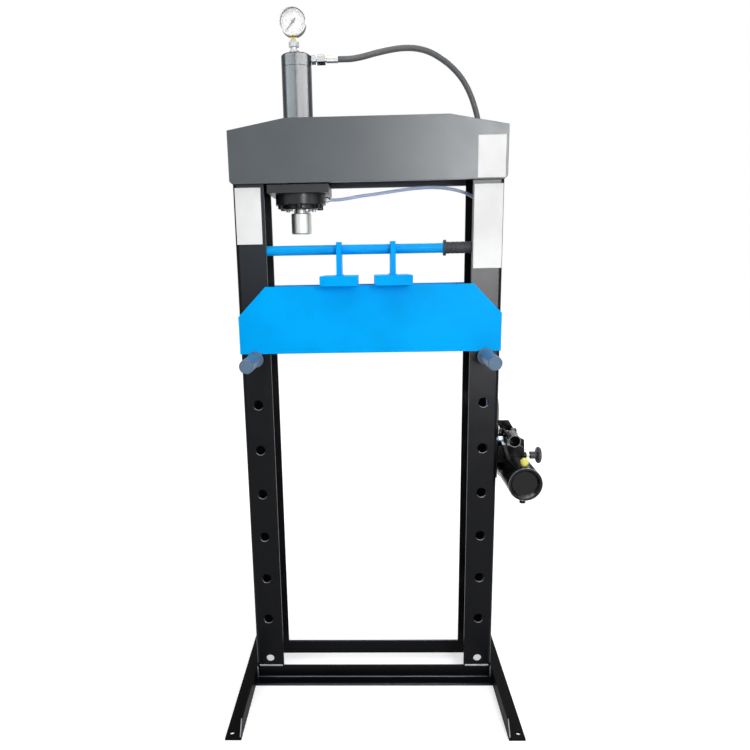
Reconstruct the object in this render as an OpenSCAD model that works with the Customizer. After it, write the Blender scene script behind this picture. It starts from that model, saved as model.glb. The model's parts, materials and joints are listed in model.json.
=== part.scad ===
// Hydraulic workshop press: welded H-frame, adjustable bed, sliding cylinder and hand pump.
// Origin on the floor midway between the posts, +Z up, front towards -Y, millimetres.

/* [Posts] */
// Width over the outer faces of the two posts
frame_w = 650; // [560:5:800]
// Width of each post, seen from the front
post_w = 75; // [65:1:95]
// Depth of each post, front to back
post_d = 130; // [120:1:170]
// Wall of the folded channel
post_t = 6; // [5:0.5:8]
// Outer bend radius of the channel
post_r = 9; // [8.5:0.5:12]
// Distance from the end top of the beam down to the post's top
post_top_drop = 6; // [2:1:40]
// Height of the small hole near the foot of each post
low_hole_z = 61; // [56:1:90]
// Diameter of the small hole near the foot of each post
low_hole_d = 22; // [10:1:28]

/* [Bed pins] */
// Height of the top row of pin holes
hole_top_z = 902; // [860:1:940]
// Distance between rows of pin holes
hole_pitch = 120; // [90:1:135]
// Number of rows of pin holes
hole_rows = 7; // [3:1:7]
// Diameter of the pin's shank
pin_d = 25; // [18:0.5:30]
// Radial clearance of the pin in its holes
pin_fit = 0.3; // [0.2:0.05:0.6]
// Diameter of the pin's collar
pin_collar_d = 41; // [36:1:60]
// Thickness of the pin's collar
pin_collar_t = 6; // [4:0.5:12]
// Diameter of the pin's handle
pin_handle_d = 34; // [28:1:35]
// Length of the pin's handle
pin_handle_l = 128; // [60:1:180]
// How far the shank reaches past the rear bed plate
pin_tail = 12; // [6:1:16]

/* [Base] */
// Leg of the angles in the base
angle_leg = 40; // [30:1:50]
// Thickness of the angles in the base
angle_t = 5; // [4:0.5:8]
// Root fillet of the angles
angle_root = 5; // [2:0.5:8]
// Length of each foot, front to back
foot_l = 650; // [450:5:900]
// Length of the sloping cut at each end of a foot's upright leg
foot_cut = 30; // [10:1:60]
// Diameter of the anchor holes
anchor_d = 12; // [8:0.5:16]
// Distance of an anchor hole from the foot's end
anchor_inset = 22; // [14:1:40]

/* [Top beam] */
// Height of the beam's underside
beam_z = 1322; // [1250:1:1420]
// Overhang of the beam plates past each post
beam_over = 5; // [0:0.5:20]
// Height of the beam plates at their ends
beam_end_h = 120; // [95:1:170]
// Height of the beam plates in the middle
beam_mid_h = 145; // [125:1:220]
// Length of each sloping top edge, measured level
beam_slope_w = 138; // [80:1:160]
// Thickness of the beam and bed plates
plate_t = 10; // [6:0.5:16]
// Chamfer on the lower corners of the beam plates
beam_corner = 6; // [2:0.5:15]
// Width of the rails inside the beam
rail_w = 18; // [14:0.5:20]
// Height of the rails inside the beam
rail_h = 12; // [8:0.5:18]
// Height of the rails above the beam's underside
rail_up = 18; // [14:1:40]

/* [Bed] */
// Height of the bed plates in the middle
bed_h = 165; // [130:1:180]
// Height of the bed plates at their ends
bed_end_h = 93; // [50:1:110]
// Length of each sloping top edge of the bed, measured level
bed_slope_w = 69.5; // [50:0.5:100]
// Play between the bed plates and the posts
bed_play = 1; // [0.5:0.1:3]
// Thickness of the bed spacers
spacer_t = 10; // [6:0.5:16]
// Height of the bed spacers
spacer_h = 90; // [50:1:120]
// Gap between a bed spacer and the post beside it
spacer_gap = 9; // [4:0.5:14]
// Distance from the bed's underside up to its spacers
spacer_up = 25; // [5:1:40]

/* [Press plates] */
// Width of a press plate
block_w = 91; // [70:1:100]
// Height of a press plate
block_h = 24; // [15:0.5:35]
// Length of a press plate, front to back
block_l = 200; // [170:1:260]
// Middle of the left press plate
block_left_x = -72.5; // [-85:0.5:-65]
// Middle of the right press plate
block_right_x = 59; // [45:0.5:80]
// Overhang of the press plates in front of the bed
block_front = 44; // [10:1:70]
// Thickness of an eye plate
rib_t = 12.5; // [8:0.5:18]
// Depth of an eye plate at its foot
rib_d = 85; // [60:1:110]
// Depth of an eye plate at its top
rib_top_d = 68; // [46:1:80]

/* [Lever] */
// Outer diameter of the pump lever
lever_d = 24; // [18:0.5:25]
// Wall of the lever tube
lever_wall = 2.5; // [1.5:0.25:4]
// Gap between each end of the stored lever and the post's web
lever_end_gap = 17; // [5:1:40]
// Height of the stored lever above the press plates
lever_up = 62.5; // [50:0.5:70]
// Clearance of the lever in the eyes
lever_fit = 0.4; // [0.3:0.05:1]
// Wall of the eye above the lever
eye_wall = 5; // [3:0.5:10]
// Diameter of the rubber grip
grip_d = 28.5; // [26:0.5:29]
// Length of the rubber grip
grip_l = 121; // [90:1:140]
// Diameter of the grip's collar
grip_collar_d = 38; // [32:0.5:38]
// Thickness of the grip's collar
grip_collar_t = 6; // [3:0.5:10]

/* [Cylinder] */
// Gap between the carriage plate and the left post
carriage_stop = 8.5; // [1:0.5:340]
// Outer diameter of the cylinder
cyl_d = 72; // [66:0.5:74]
// Bore of the cylinder
bore_d = 55; // [50:0.5:58]
// Height of the cylinder above the carriage plate's underside
cyl_h = 319; // [290:1:380]
// Thickness of the cylinder cap
cap_t = 28; // [24:1:45]
// Chamfer on the cylinder cap's rim
cap_chamfer = 2; // [0.5:0.5:4]
// Width of the carriage plate
carriage_w = 148; // [136:1:150]
// Depth of the carriage plate
carriage_d = 144; // [134:1:150]
// Thickness of the carriage plate
carriage_t = 20; // [12:0.5:30]
// Gap between the carriage plate and the beam
carriage_gap = 2; // [1:0.25:6]
// Diameter of the gland flange
flange_d = 124; // [118:1:130]
// Thickness of the gland flange
flange_t = 24; // [18:0.5:34]
// Diameter of the gland's lower boss
boss_d = 84; // [76:1:86]
// Height of the gland's lower boss
boss_h = 11; // [8:0.5:20]
// Number of gland bolts
gland_bolts_n = 6; // [4:1:8]
// Pitch circle of the gland bolts
gland_pcd = 106; // [104:0.5:108]
// Diameter of the gland bolts
gland_bolt_d = 10; // [6:0.5:10]
// Pitch circle of the screws in the gland's lower boss
cover_pcd = 64; // [58:0.5:66]
// Diameter of the screws in the gland's lower boss
cover_screw_d = 6; // [4:0.5:6]

/* [Ram] */
// Diameter of the ram's rod
rod_d = 32; // [26:0.5:34]
// Diameter of the ram's head
head_d = 50; // [40:0.5:50]
// Height of the ram's head
head_h = 50; // [35:0.5:60]
// Length of rod showing when the ram is up
rod_show = 8.5; // [4:0.5:20]
// Length of the piston
piston_l = 36; // [26:0.5:50]
// Wire of the return spring
spring_wire = 4.5; // [3:0.25:5]
// Turns of the return spring
spring_turns = 10; // [6:1:14]

/* [Gauge] */
// Diameter of the gauge's bezel
gauge_d = 63; // [50:1:80]
// Depth of the gauge
gauge_t = 28; // [24:0.5:36]
// Offset of the gauge port from the cylinder's axis
gauge_dx = -4.5; // [-10:0.5:10]
// Height of the steel adapter
adapter_h = 33; // [24:0.5:45]
// Width across flats of the brass stem
stem_af = 14; // [10:0.5:18]

/* [Hoses] */
// Diameter of the pressure hose
hose_d = 14; // [12:0.5:16]
// Diameter of the return tube
tube_d = 8; // [6:0.5:9]

/* [Pump] */
// Gap between the post's outer face and the reservoir
res_gap = 14.5; // [13:0.5:30]
// Height of the reservoir's axis
res_z = 590; // [560:1:600]
// Diameter of the reservoir
res_d = 85; // [76:0.5:90]
// Wall of the reservoir
res_wall = 4; // [2.5:0.5:6]
// How far the reservoir reaches in front of the origin plane
res_front = 149; // [130:1:200]
// Thickness of the bracket
bracket_t = 8; // [5:0.5:12]
// Distance from the reservoir's axis down to the bracket's lower edge
bracket_low = 18; // [8:1:40]
// Height of the pump body's top face above the reservoir's top
body_up = 27.5; // [27:0.5:32]
// Height of the bracket's upper edge above the pump body
bracket_up = 55; // [45:1:90]
// Width of the pump body
body_w = 68; // [60:0.5:72]
// Front face of the pump body, in front of the origin plane
body_front = 40; // [34:0.5:42]
// Back face of the pump body, behind the origin plane
body_back = 20; // [18:0.5:30]
// Height of the lever socket's pivot above the pump body
pivot_up = 27; // [24:0.5:40]
// Distance from the bracket to the lever socket's middle
pump_lever_out = 30; // [28:0.5:36]
// Diameter of the lever pivot
pivot_d = 10; // [8:0.5:12]
// Distance from the pivot to the plunger
plunger_arm = 20; // [18:0.5:24]
// Diameter of the plunger
plunger_d = 14; // [10:0.5:14.5]
// Clearance bore of the lever socket
socket_id = 26; // [25:0.5:28]
// Wall of the lever socket
socket_wall = 3; // [2:0.25:5]
// Length of the lever socket's tube
socket_l = 50; // [40:1:90]
// Diameter of the release knob
knob_d = 44; // [30:1:50]
// Thickness of the release knob
knob_t = 10; // [8:0.5:20]
// Distance from the pump body to the release knob
knob_out = 35; // [28:0.5:44]
// Depth of the release valve's axis below the pump body's top face
valve_drop = 29; // [18:0.5:29]
// Diameter of the release spindle
spindle_d = 8; // [6:0.5:8]

/* [Clearances] */
// Radial clearance of running fits
run_fit = 0.05; // [0.02:0.01:0.1]
// Gap between faces that slide past each other
slide_gap = 0.3; // [0.3:0.05:0.6]
// Radial clearance of pieces fixed into a hole
set_fit = 0.1; // [0.05:0.05:0.3]

/* [Hidden] */
$fn = 64;
black = "#17191b";
dark_grey = "#3c4246";
bright_blue = "#12a3f0";
steel = "#c9ccce";
brass = "#c8a24a";

half_w = frame_w / 2;
post_in = half_w - post_w;
post_y = post_d / 2;
post_z0 = angle_leg;
post_z1 = beam_z + beam_end_h - post_top_drop;
pin_tip_l = 3;
pin_end_r = 2;
pin_x = half_w - post_w / 2;
pin_z = hole_top_z;
hole_d = pin_d + 2 * pin_fit;
anchor_x = half_w + (angle_leg + angle_t) / 2 + 4;
anchor_y = foot_l / 2 - anchor_inset;
cross_back_y = post_y - post_t / 2;

beam_w = frame_w + 2 * beam_over;
beam_flat_w = beam_w - 2 * beam_slope_w;
bed_top_w = frame_w - 2 * bed_slope_w;
bed_z = pin_z + pin_d / 2 + slide_gap;
bed_top_z = bed_z + bed_h;
bed_in_y = post_y + bed_play;
bed_out_y = bed_in_y + plate_t;
beam_out_y = post_y + plate_t;

lever_y = -(post_y - post_t - grip_d / 2 - slide_gap);
lever_z = bed_top_z + block_h + lever_up;
lever_x1 = half_w - post_t - lever_end_gap;
lever_x0 = -lever_x1;
eye_d = lever_d + 2 * lever_fit;
rib_top_z = lever_z + eye_d / 2 + eye_wall;
grip_x0 = lever_x1 - grip_l + 2;

cyl_x = -post_in + carriage_stop + carriage_w / 2;
plate_top_z = beam_z - carriage_gap;
plate_z = plate_top_z - carriage_t;
rail_z = beam_z + rail_up;
rail_top_z = rail_z + rail_h;
hook_t = 8;
hook_w = 26;
hook_lip = 10;
hook_y = post_y - rail_w - 1;
hook_dx = carriage_w / 2 - hook_w / 2 - 1;
cyl_top_z = plate_z + cyl_h;
cap_z = cyl_top_z - cap_t;
port_z = cyl_top_z - 10;
flange_z = plate_z - flange_t;
boss_z = flange_z - boss_h;
head_top_z = boss_z - rod_show;
head_z = head_top_z - head_h;
port_d = 12;
port_depth = 12;
bush_od = rod_d + 8;
piston_top_z = cap_z - 5;
piston_z = piston_top_z - piston_l;
spigot_d = 18;
spigot_l = 22;
seal_w = 5;
seal_depth = 3;
gland_head_d = gland_bolt_d * 1.6;
gland_head_h = gland_bolt_d;
cover_screw_l = 14;
return_port_z = flange_z + 12;
spring_r = rod_d / 2 + 2 + spring_wire / 2;

gauge_x = cyl_x + gauge_dx;
gauge_stem_h = 10;
gauge_z = cyl_top_z + adapter_h + gauge_stem_h + gauge_d / 2 - 3.5;
gauge_front = gauge_t - 10;
bezel_w = 2.2;
case_wall = 2;
case_d = gauge_d - 2;
case_in = 4;
dial_y = -gauge_front + 7;
arbor_d = 2;
needle_y = dial_y - 2.4;

res_x = half_w + res_gap + res_d / 2;
res_top_z = res_z + res_d / 2;
body_top_z = res_top_z + body_up;
bracket_z = res_z - bracket_low;
bracket_top_z = body_top_z + bracket_up;
pivot_z = body_top_z + pivot_up;
valve_z = body_top_z - valve_drop;
res_back = body_back;
body_x0 = half_w + bracket_t;
body_x1 = body_x0 + body_w;
lever_px = half_w + bracket_t + pump_lever_out;
cheek_in = plunger_d / 2 + 1;
cheek_t = 6;
cheek_out = cheek_in + cheek_t;
lug_in = cheek_out + 0.6;
lug_t = 8;
socket_od = socket_id + 2 * socket_wall;
socket_back = 25;
socket_y1 = -(plunger_arm + socket_back);
socket_y0 = socket_y1 - socket_l;
valve_y = -25;
valve_boss = 8;
valve_reach = valve_z - spindle_d / 2 - res_z;
spindle_x0 = res_x + sqrt(pow(res_d / 2 + slide_gap + set_fit, 2) - pow(valve_reach, 2));
knob_x = body_x1 + knob_out;
knob_hub_d = 20;
knob_hub_l = 17;
knob_edge = 3;
outlet_x = half_w + bracket_t + 8;
outlet_y = body_back + bracket_t + 17;
outlet_d = 14;
outlet_drop = 15;
outlet_h = 22;
outlet_z = body_top_z - outlet_drop;
outlet_top_z = outlet_z + outlet_h;
web_hole_y = -48;
web_hole_z = 682;
web_hole_d = tube_d + 4;
elbow_x = half_w + 14;
wiper_h = 7;
pump_bolt_d = 8;
bolt_hex_d = 14.4;
pump_bolt_y = [-20, 8];
pump_bolt_z = [bracket_z + 16, bracket_top_z - 12];
body_screw_d = 8;
body_screw_in = 12;
body_screw_x = [body_x0 + body_screw_in + 14, body_x1 - body_screw_in];
body_screw_z = body_top_z - 14;
cross_pin_d = 8;
plunger_in = 26;
bracket_nose = 36;
body_saddle = 16.5;
cap_rim_w = 12;
filler_y = -128;
filler_d = 12;
filler_cap_d = 20;
drain_y = -122;
drain_d = 10;
drain_l = 14;

port_hex_d = 22;
port_hex_l = 10;
hose_nut_l = 20;
hose_neck_l = 3;
hose_ferrule_l = 27;
hose_end_l = hose_nut_l + hose_neck_l + hose_ferrule_l;
hose_fit_x = cyl_x + cyl_d / 2 + 14;

// Route of the pressure hose, from the cylinder's ferrule to the pump's ferrule
hose_x0 = hose_fit_x + hose_end_l;
hose_end_z = outlet_top_z + hose_end_l;
hose_pts = [
  [hose_x0, 0, port_z], [-38, 0, 1609], [-10, 4, 1614], [23, 10, 1623], [57, 20, 1632], [90, 30, 1638],
  [122, 40, 1639], [154, 52, 1634], [185, 64, 1621], [213, 76, 1604], [238, 86, 1581], [257, 94, 1554],
  [271, 99, 1524], [282, 102, 1490], [290, 104, 1455], [296, 104, 1415], [300, 104, 1370], [303, 104, 1320],
  [305, 104, 1265], [306, 104, 1205], [307, 104, 1140], [308, 104, 1070], [310, 104, 1000], [313, 103, 940],
  [318, 99, 890], [324, 91, 850], [331, 80, 816], [337, 67, 788], [340, 55, 766], [341, 48, 748],
  [outlet_x, outlet_y, 734], [outlet_x, outlet_y, hose_end_z]
];

// Route of the return tube, from the gland's nipple through the right post to the reservoir's elbow
tube_x0 = cyl_x + flange_d / 2 + 12;
tube_pts = [
  [tube_x0, 0, return_port_z], [-74, 0, return_port_z], [-48, 0, 1291], [-16, 1, 1296],
  [20, 2, 1300], [58, 3, 1305],
  [91, 4, 1309], [124, 5, 1312], [155, 6, 1313], [180, 7, 1312], [204, 8, 1309], [226, 9, 1304],
  [246, 10, 1297], [264, 12, 1287], [280, 14, 1273], [293, 15, 1254], [302, 15, 1230], [307, 15, 1200],
  [308, 15, 1160], [308, 15, 1100], [308, 15, 1030], [308, 15, 960], [308, 14, 905], [308, 10, 862],
  [308, 2, 826], [307, -9, 796], [305, -23, 768], [301, -35, 747], [297, -44, 729], [294, -48, 714],
  [296, -48, 702], [303, -48, 691], [314, -48, 684], [326, -48, web_hole_z],
  [elbow_x - 9, web_hole_y, web_hole_z]
];

// Unit vector along v
function unit(v) = v / norm(v);

// Direction of a route at its point i
function heading(p, i) = unit(p[min(i + 1, len(p) - 1)] - p[max(i - 1, 0)]);

// Points of one ring of a tube, square to the route
function ring(p, i, d, sides, side_dir) =
  let (t = heading(p, i), a = unit(cross(t, side_dir)), b = cross(t, a))
  [for (k = [0 : sides - 1]) p[i] + d / 2 * (cos(360 * k / sides) * a + sin(360 * k / sides) * b)];

// Closed tube of diameter d along the points p
module sweep_tube(p, d, sides, side_dir) {
  n = len(p);
  points = [for (i = [0 : n - 1]) each ring(p, i, d, sides, side_dir)];
  walls = [for (i = [0 : n - 2], k = [0 : sides - 1])
    let (k2 = (k + 1) % sides, a = i * sides, b = a + sides)
    each [[a + k, b + k, b + k2], [a + k, b + k2, a + k2]]];
  start_cap = [[for (k = [0 : sides - 1]) k]];
  end_cap = [[for (k = [sides - 1 : -1 : 0]) (n - 1) * sides + k]];
  polyhedron(points = points, faces = concat(walls, start_cap, end_cap));
}

// Cylinder from x0 to x1 along X
module rod_x(x0, x1, d, y, z) {
  translate([x0, y, z]) rotate([0, 90, 0]) cylinder(d = d, h = x1 - x0);
}

// Cylinder from y0 to y1 along Y
module rod_y(y0, y1, d, x, z) {
  translate([x, y1, z]) rotate([90, 0, 0]) cylinder(d = d, h = y1 - y0);
}

// Plate whose outline lies in the XZ plane, from y0 to y1
module plate_xz(y0, y1) {
  translate([0, y1, 0]) rotate([90, 0, 0]) linear_extrude(y1 - y0) children();
}

// Plate whose outline lies in the YZ plane, from x0 to x1
module plate_yz(x0, x1) {
  translate([x0, 0, 0]) rotate([90, 0, 90]) linear_extrude(x1 - x0) children();
}

// Rectangle from x0 to x1, rounded on its +X corners
module d_shape(x0, x1, w, r) {
  translate([x0, -w / 2]) square([x1 - x0 - r, w]);
  translate([x1 - r - 0.01, -w / 2 + r]) square([r + 0.01, w - 2 * r]);
  for (s = [-1, 1]) translate([x1 - r, s * (w / 2 - r)]) circle(r = r);
}

// Rolled angle section with its heel at the origin and its legs along +X and +Y
module angle_section() {
  square([angle_leg, angle_t]);
  square([angle_t, angle_leg]);
  difference() {
    square([angle_t + angle_root, angle_t + angle_root]);
    translate([angle_t + angle_root, angle_t + angle_root]) circle(r = angle_root);
  }
}

// Channel post on the +X side, open towards the middle
module channel_post() {
  difference() {
    translate([0, 0, post_z0]) linear_extrude(post_z1 - post_z0) difference() {
      d_shape(post_in, half_w, post_d, post_r);
      d_shape(post_in - 1, half_w - post_t, post_d - 2 * post_t, post_r - post_t);
    }
    for (i = [0 : hole_rows - 1])
      rod_y(-post_y - 1, post_y + 1, hole_d, pin_x, hole_top_z - i * hole_pitch);
    rod_y(-post_y - 1, post_y + 1, low_hole_d, pin_x, low_hole_z);
  }
}

module post_left() {
  color(black) mirror([1, 0, 0]) channel_post();
}

module post_right() {
  color(black) difference() {
    channel_post();
    rod_x(half_w - post_t - 1, half_w + 1, web_hole_d, web_hole_y, web_hole_z);
    pump_bolt_places() rod_x(half_w - post_t - 1, half_w + 1, pump_bolt_d + 2 * set_fit, 0, 0);
  }
}

// Angle between the feet, its upright leg under the post flanges and its flat leg outwards
module cross_angle() {
  translate([-half_w, -cross_back_y, 0])
    rotate([90, 0, 90]) mirror([1, 0, 0]) linear_extrude(frame_w) angle_section();
}

module cross_front() {
  color(black) cross_angle();
}

module cross_rear() {
  color(black) mirror([0, 1, 0]) cross_angle();
}

// Foot on the +X side: flat leg outwards with anchor holes, upright leg cut down at both ends
module foot_angle() {
  difference() {
    translate([half_w, foot_l / 2, 0]) rotate([90, 0, 0]) linear_extrude(foot_l) angle_section();
    for (s = [-1, 1]) {
      translate([anchor_x, s * anchor_y, -1]) cylinder(d = anchor_d, h = angle_t + 2);
      scale_y(s) plate_yz(half_w - 1, half_w + angle_t + angle_root + 1)
        polygon([[foot_l / 2 - foot_cut, angle_leg + 1], [foot_l / 2 - foot_cut, angle_leg],
          [foot_l / 2, angle_t], [foot_l / 2 + 1, angle_t], [foot_l / 2 + 1, angle_leg + 1]]);
    }
  }
}

// Children as they are for s = 1, mirrored front to back for s = -1
module scale_y(s) {
  mirror([0, s < 0 ? 1 : 0, 0]) children();
}

module foot_left() {
  color(black) mirror([1, 0, 0]) foot_angle();
}

module foot_right() {
  color(black) foot_angle();
}

// Outline of a beam plate
module beam_outline() {
  translate([0, beam_z]) polygon([
    [-beam_w / 2 + beam_corner, 0], [beam_w / 2 - beam_corner, 0], [beam_w / 2, beam_corner],
    [beam_w / 2, beam_end_h], [beam_flat_w / 2, beam_mid_h], [-beam_flat_w / 2, beam_mid_h],
    [-beam_w / 2, beam_end_h], [-beam_w / 2, beam_corner]
  ]);
}

module beam_front_plate() {
  color(dark_grey) plate_xz(-beam_out_y, -post_y) beam_outline();
}

module beam_rear_plate() {
  color(dark_grey) plate_xz(post_y, beam_out_y) beam_outline();
}

module beam_rails() {
  rail_l = 2 * post_in;
  color(black) for (s = [-1, 1])
    translate([-rail_l / 2, s > 0 ? post_y - rail_w : -post_y, rail_z]) cube([rail_l, rail_w, rail_h]);
}

// Outline of a bed plate
module bed_outline() {
  translate([0, bed_z]) polygon([
    [-half_w, 0], [half_w, 0], [half_w, bed_end_h], [bed_top_w / 2, bed_h],
    [-bed_top_w / 2, bed_h], [-half_w, bed_end_h]
  ]);
}

module bed_front_plate() {
  color(bright_blue) plate_xz(-bed_out_y, -bed_in_y) bed_outline();
}

module bed_rear_plate() {
  color(bright_blue) plate_xz(bed_in_y, bed_out_y) bed_outline();
}

module bed_spacers() {
  color(bright_blue) for (s = [-1, 1])
    translate([s * (post_in - spacer_gap - spacer_t / 2) - spacer_t / 2, -bed_in_y, bed_z + spacer_up])
      cube([spacer_t, 2 * bed_in_y, spacer_h]);
}

// Bed pin on the +X side: shank, collar in front of the bed plate, handle towards the front
module bed_pin() {
  collar_y = -bed_out_y - slide_gap;
  handle_y = collar_y - pin_collar_t;
  tip_y = bed_out_y + pin_tail - pin_tip_l;
  rod_y(collar_y, tip_y, pin_d, pin_x, pin_z);
  translate([pin_x, tip_y, pin_z]) rotate([-90, 0, 0])
    cylinder(d1 = pin_d, d2 = pin_d - 2 * pin_tip_l, h = pin_tip_l);
  rod_y(handle_y, collar_y, pin_collar_d, pin_x, pin_z);
  difference() {
    rod_y(handle_y - pin_handle_l, handle_y, pin_handle_d, pin_x, pin_z);
    translate([pin_x, handle_y - pin_handle_l, pin_z]) rotate([90, 0, 0]) rotate_extrude()
      translate([pin_handle_d / 2, 0]) circle(r = pin_end_r, $fn = 16);
  }
}

module bed_pin_left() {
  color(steel) mirror([1, 0, 0]) bed_pin();
}

module bed_pin_right() {
  color(steel) bed_pin();
}

// Press plate with an upright eye plate for the stored lever
module press_plate(x) {
  y0 = -bed_out_y - block_front;
  rib_y0 = lever_y - rib_d / 2;
  edge = 2;
  difference() {
    union() {
      translate([x, y0, 0]) rotate([-90, 0, 0]) linear_extrude(block_l) polygon([
        [-block_w / 2 + edge, -bed_top_z], [block_w / 2 - edge, -bed_top_z],
        [block_w / 2, -bed_top_z - edge], [block_w / 2, -bed_top_z - block_h + edge],
        [block_w / 2 - edge, -bed_top_z - block_h], [-block_w / 2 + edge, -bed_top_z - block_h],
        [-block_w / 2, -bed_top_z - block_h + edge], [-block_w / 2, -bed_top_z - edge]
      ]);
      plate_yz(x - rib_t / 2, x + rib_t / 2) polygon([
        [rib_y0, bed_top_z + block_h - 1], [rib_y0 + rib_d, bed_top_z + block_h - 1],
        [rib_y0 + rib_d, bed_top_z + block_h + 8], [lever_y + rib_top_d / 2, rib_top_z - 6],
        [lever_y + rib_top_d / 2 - 6, rib_top_z], [lever_y - rib_top_d / 2 + 6, rib_top_z],
        [lever_y - rib_top_d / 2, rib_top_z - 6], [rib_y0, bed_top_z + block_h + 8]
      ]);
    }
    rod_x(x - rib_t, x + rib_t, eye_d, lever_y, lever_z);
  }
}

module press_plate_left() {
  color(bright_blue) press_plate(block_left_x);
}

module press_plate_right() {
  color(bright_blue) press_plate(block_right_x);
}

module lever_tube() {
  color(bright_blue) difference() {
    rod_x(lever_x0, lever_x1, lever_d, lever_y, lever_z);
    rod_x(lever_x0 - 1, lever_x1 + 1, lever_d - 2 * lever_wall, lever_y, lever_z);
  }
}

// Rubber grip: flanged sleeve with a closed end and shallow rings
module lever_grip() {
  grooves = 9;
  groove_from = grip_collar_t + 10;
  groove_step = (grip_l - groove_from - 14) / (grooves - 1);
  color(black) translate([grip_x0, lever_y, lever_z]) rotate([0, 90, 0]) difference() {
    union() {
      cylinder(d = grip_collar_d, h = grip_collar_t);
      cylinder(d = grip_d, h = grip_l);
    }
    translate([0, 0, -1]) cylinder(d = lever_d, h = grip_l - 2 + 1);
    for (i = [0 : grooves - 1]) translate([0, 0, groove_from + i * groove_step]) rotate_extrude()
      translate([grip_d / 2 - 1, 0]) square([2, 2.5]);
  }
}

module carriage_plate() {
  edge = 2;
  color(dark_grey) difference() {
    translate([cyl_x - carriage_w / 2, -carriage_d / 2, plate_z]) cube([carriage_w, carriage_d, carriage_t]);
    translate([cyl_x, 0, plate_z - 1]) cylinder(d = cyl_d + 2 * set_fit, h = carriage_t + 2);
    gland_bolt_places() translate([0, 0, plate_z - 1])
      cylinder(d = gland_bolt_d + 2 * set_fit, h = carriage_t - 3);
    for (s = [-1, 1]) scale_y(s) translate([0, carriage_d / 2, plate_top_z]) rotate([45, 0, 0])
      cube([frame_w, edge, edge], center = true);
  }
}

// Hooks welded on the carriage plate, hanging over the rails
module carriage_hooks() {
  lip_z = rail_top_z + slide_gap;
  color(black) for (sx = [-1, 1], sy = [-1, 1])
    translate([cyl_x + sx * hook_dx - hook_w / 2, 0, 0]) scale_y(sy) {
      translate([0, hook_y - hook_t, plate_top_z]) cube([hook_w, hook_t, lip_z + hook_lip - plate_top_z]);
      translate([0, hook_y - 1, lip_z]) cube([hook_w, rail_w - 1, hook_lip]);
    }
}

module cylinder_tube() {
  color(dark_grey) translate([cyl_x, 0, plate_z]) difference() {
    cylinder(d = cyl_d, h = cap_z - plate_z);
    translate([0, 0, -1]) cylinder(d = bore_d, h = cap_z - plate_z + 2);
  }
}

// Solid cap with the gauge port on top and the hose port on its right side
module cylinder_cap() {
  color(dark_grey) difference() {
    union() {
      translate([cyl_x, 0, cap_z]) cylinder(d = cyl_d, h = cap_t - cap_chamfer);
      translate([cyl_x, 0, cyl_top_z - cap_chamfer])
        cylinder(d1 = cyl_d, d2 = cyl_d - 2 * cap_chamfer, h = cap_chamfer);
    }
    translate([gauge_x, 0, cyl_top_z - port_depth - 2]) cylinder(d = port_d, h = port_depth + 3);
    rod_x(cyl_x + cyl_d / 2 - port_depth - 2, cyl_x + cyl_d, port_d, 0, port_z);
    translate([cyl_x, 0, cap_z - 1]) cylinder(d = 6, h = 12);
  }
}

// Places of the gland bolts, clear of the side port
module gland_bolt_places() {
  for (i = [0 : gland_bolts_n - 1])
    translate([cyl_x, 0, 0]) rotate([0, 0, 360 / gland_bolts_n * (i + 0.5)])
      translate([gland_pcd / 2, 0, 0]) children();
}

// Places of the screws in the gland's lower boss
module cover_screw_places() {
  for (i = [0 : gland_bolts_n - 1])
    translate([cyl_x, 0, boss_z]) rotate([0, 0, 360 / gland_bolts_n * i])
      translate([cover_pcd / 2, 0, 0]) children();
}

// Gland: bolted flange with a spigot into the bore, a bush seat and a wiper boss
module gland_flange() {
  spigot_h = 10;
  color(dark_grey) difference() {
    union() {
      translate([cyl_x, 0, flange_z]) cylinder(d = flange_d, h = flange_t);
      translate([cyl_x, 0, plate_z]) cylinder(d = bore_d - 2 * set_fit, h = spigot_h);
      translate([cyl_x, 0, boss_z]) cylinder(d1 = boss_d - 4, d2 = boss_d, h = 2);
      translate([cyl_x, 0, boss_z + 2]) cylinder(d = boss_d, h = boss_h - 2);
    }
    translate([cyl_x, 0, boss_z - 1]) cylinder(d = rod_d + 2, h = flange_t + boss_h + spigot_h + 2);
    translate([cyl_x, 0, flange_z + 2]) cylinder(d = bush_od, h = flange_t + spigot_h);
    translate([cyl_x, 0, boss_z - 1]) cylinder(d = bush_od, h = wiper_h + 1);
    gland_bolt_places() translate([0, 0, flange_z - 1])
      cylinder(d = gland_bolt_d + 2 * set_fit, h = flange_t + 2);
    cover_screw_places() translate([0, 0, -1])
      cylinder(d = cover_screw_d + 2 * set_fit, h = cover_screw_l + 2);
    rod_x(cyl_x + flange_d / 2 - 12, cyl_x + flange_d, tube_d, 0, return_port_z);
  }
}

// Socket head screws under the gland's lower boss
module cover_screws() {
  head_h = cover_screw_d * 0.75;
  color(steel) cover_screw_places() difference() {
    union() {
      translate([0, 0, -head_h]) cylinder(d = cover_screw_d * 1.7, h = head_h);
      translate([0, 0, -1]) cylinder(d = cover_screw_d, h = cover_screw_l);
    }
    translate([0, 0, -head_h - 1]) cylinder(d = cover_screw_d * 0.9, h = cover_screw_d * 0.5 + 1, $fn = 6);
  }
}

// Socket head bolts through the gland flange into the carriage plate
module gland_bolts() {
  color(black) gland_bolt_places() difference() {
    union() {
      translate([0, 0, flange_z - gland_head_h]) cylinder(d = gland_head_d, h = gland_head_h);
      translate([0, 0, flange_z - 0.01]) cylinder(d = gland_bolt_d, h = flange_t + carriage_t - 6);
    }
    translate([0, 0, flange_z - gland_head_h - 1])
      cylinder(d = gland_bolt_d * 0.92, h = gland_bolt_d * 0.6, $fn = 6);
  }
}

module guide_bush() {
  color(brass) translate([cyl_x, 0, flange_z + 2]) difference() {
    cylinder(d = bush_od - 2 * set_fit, h = flange_t + 6);
    translate([0, 0, -1]) cylinder(d = rod_d + 2 * run_fit, h = flange_t + 8);
  }
}

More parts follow.
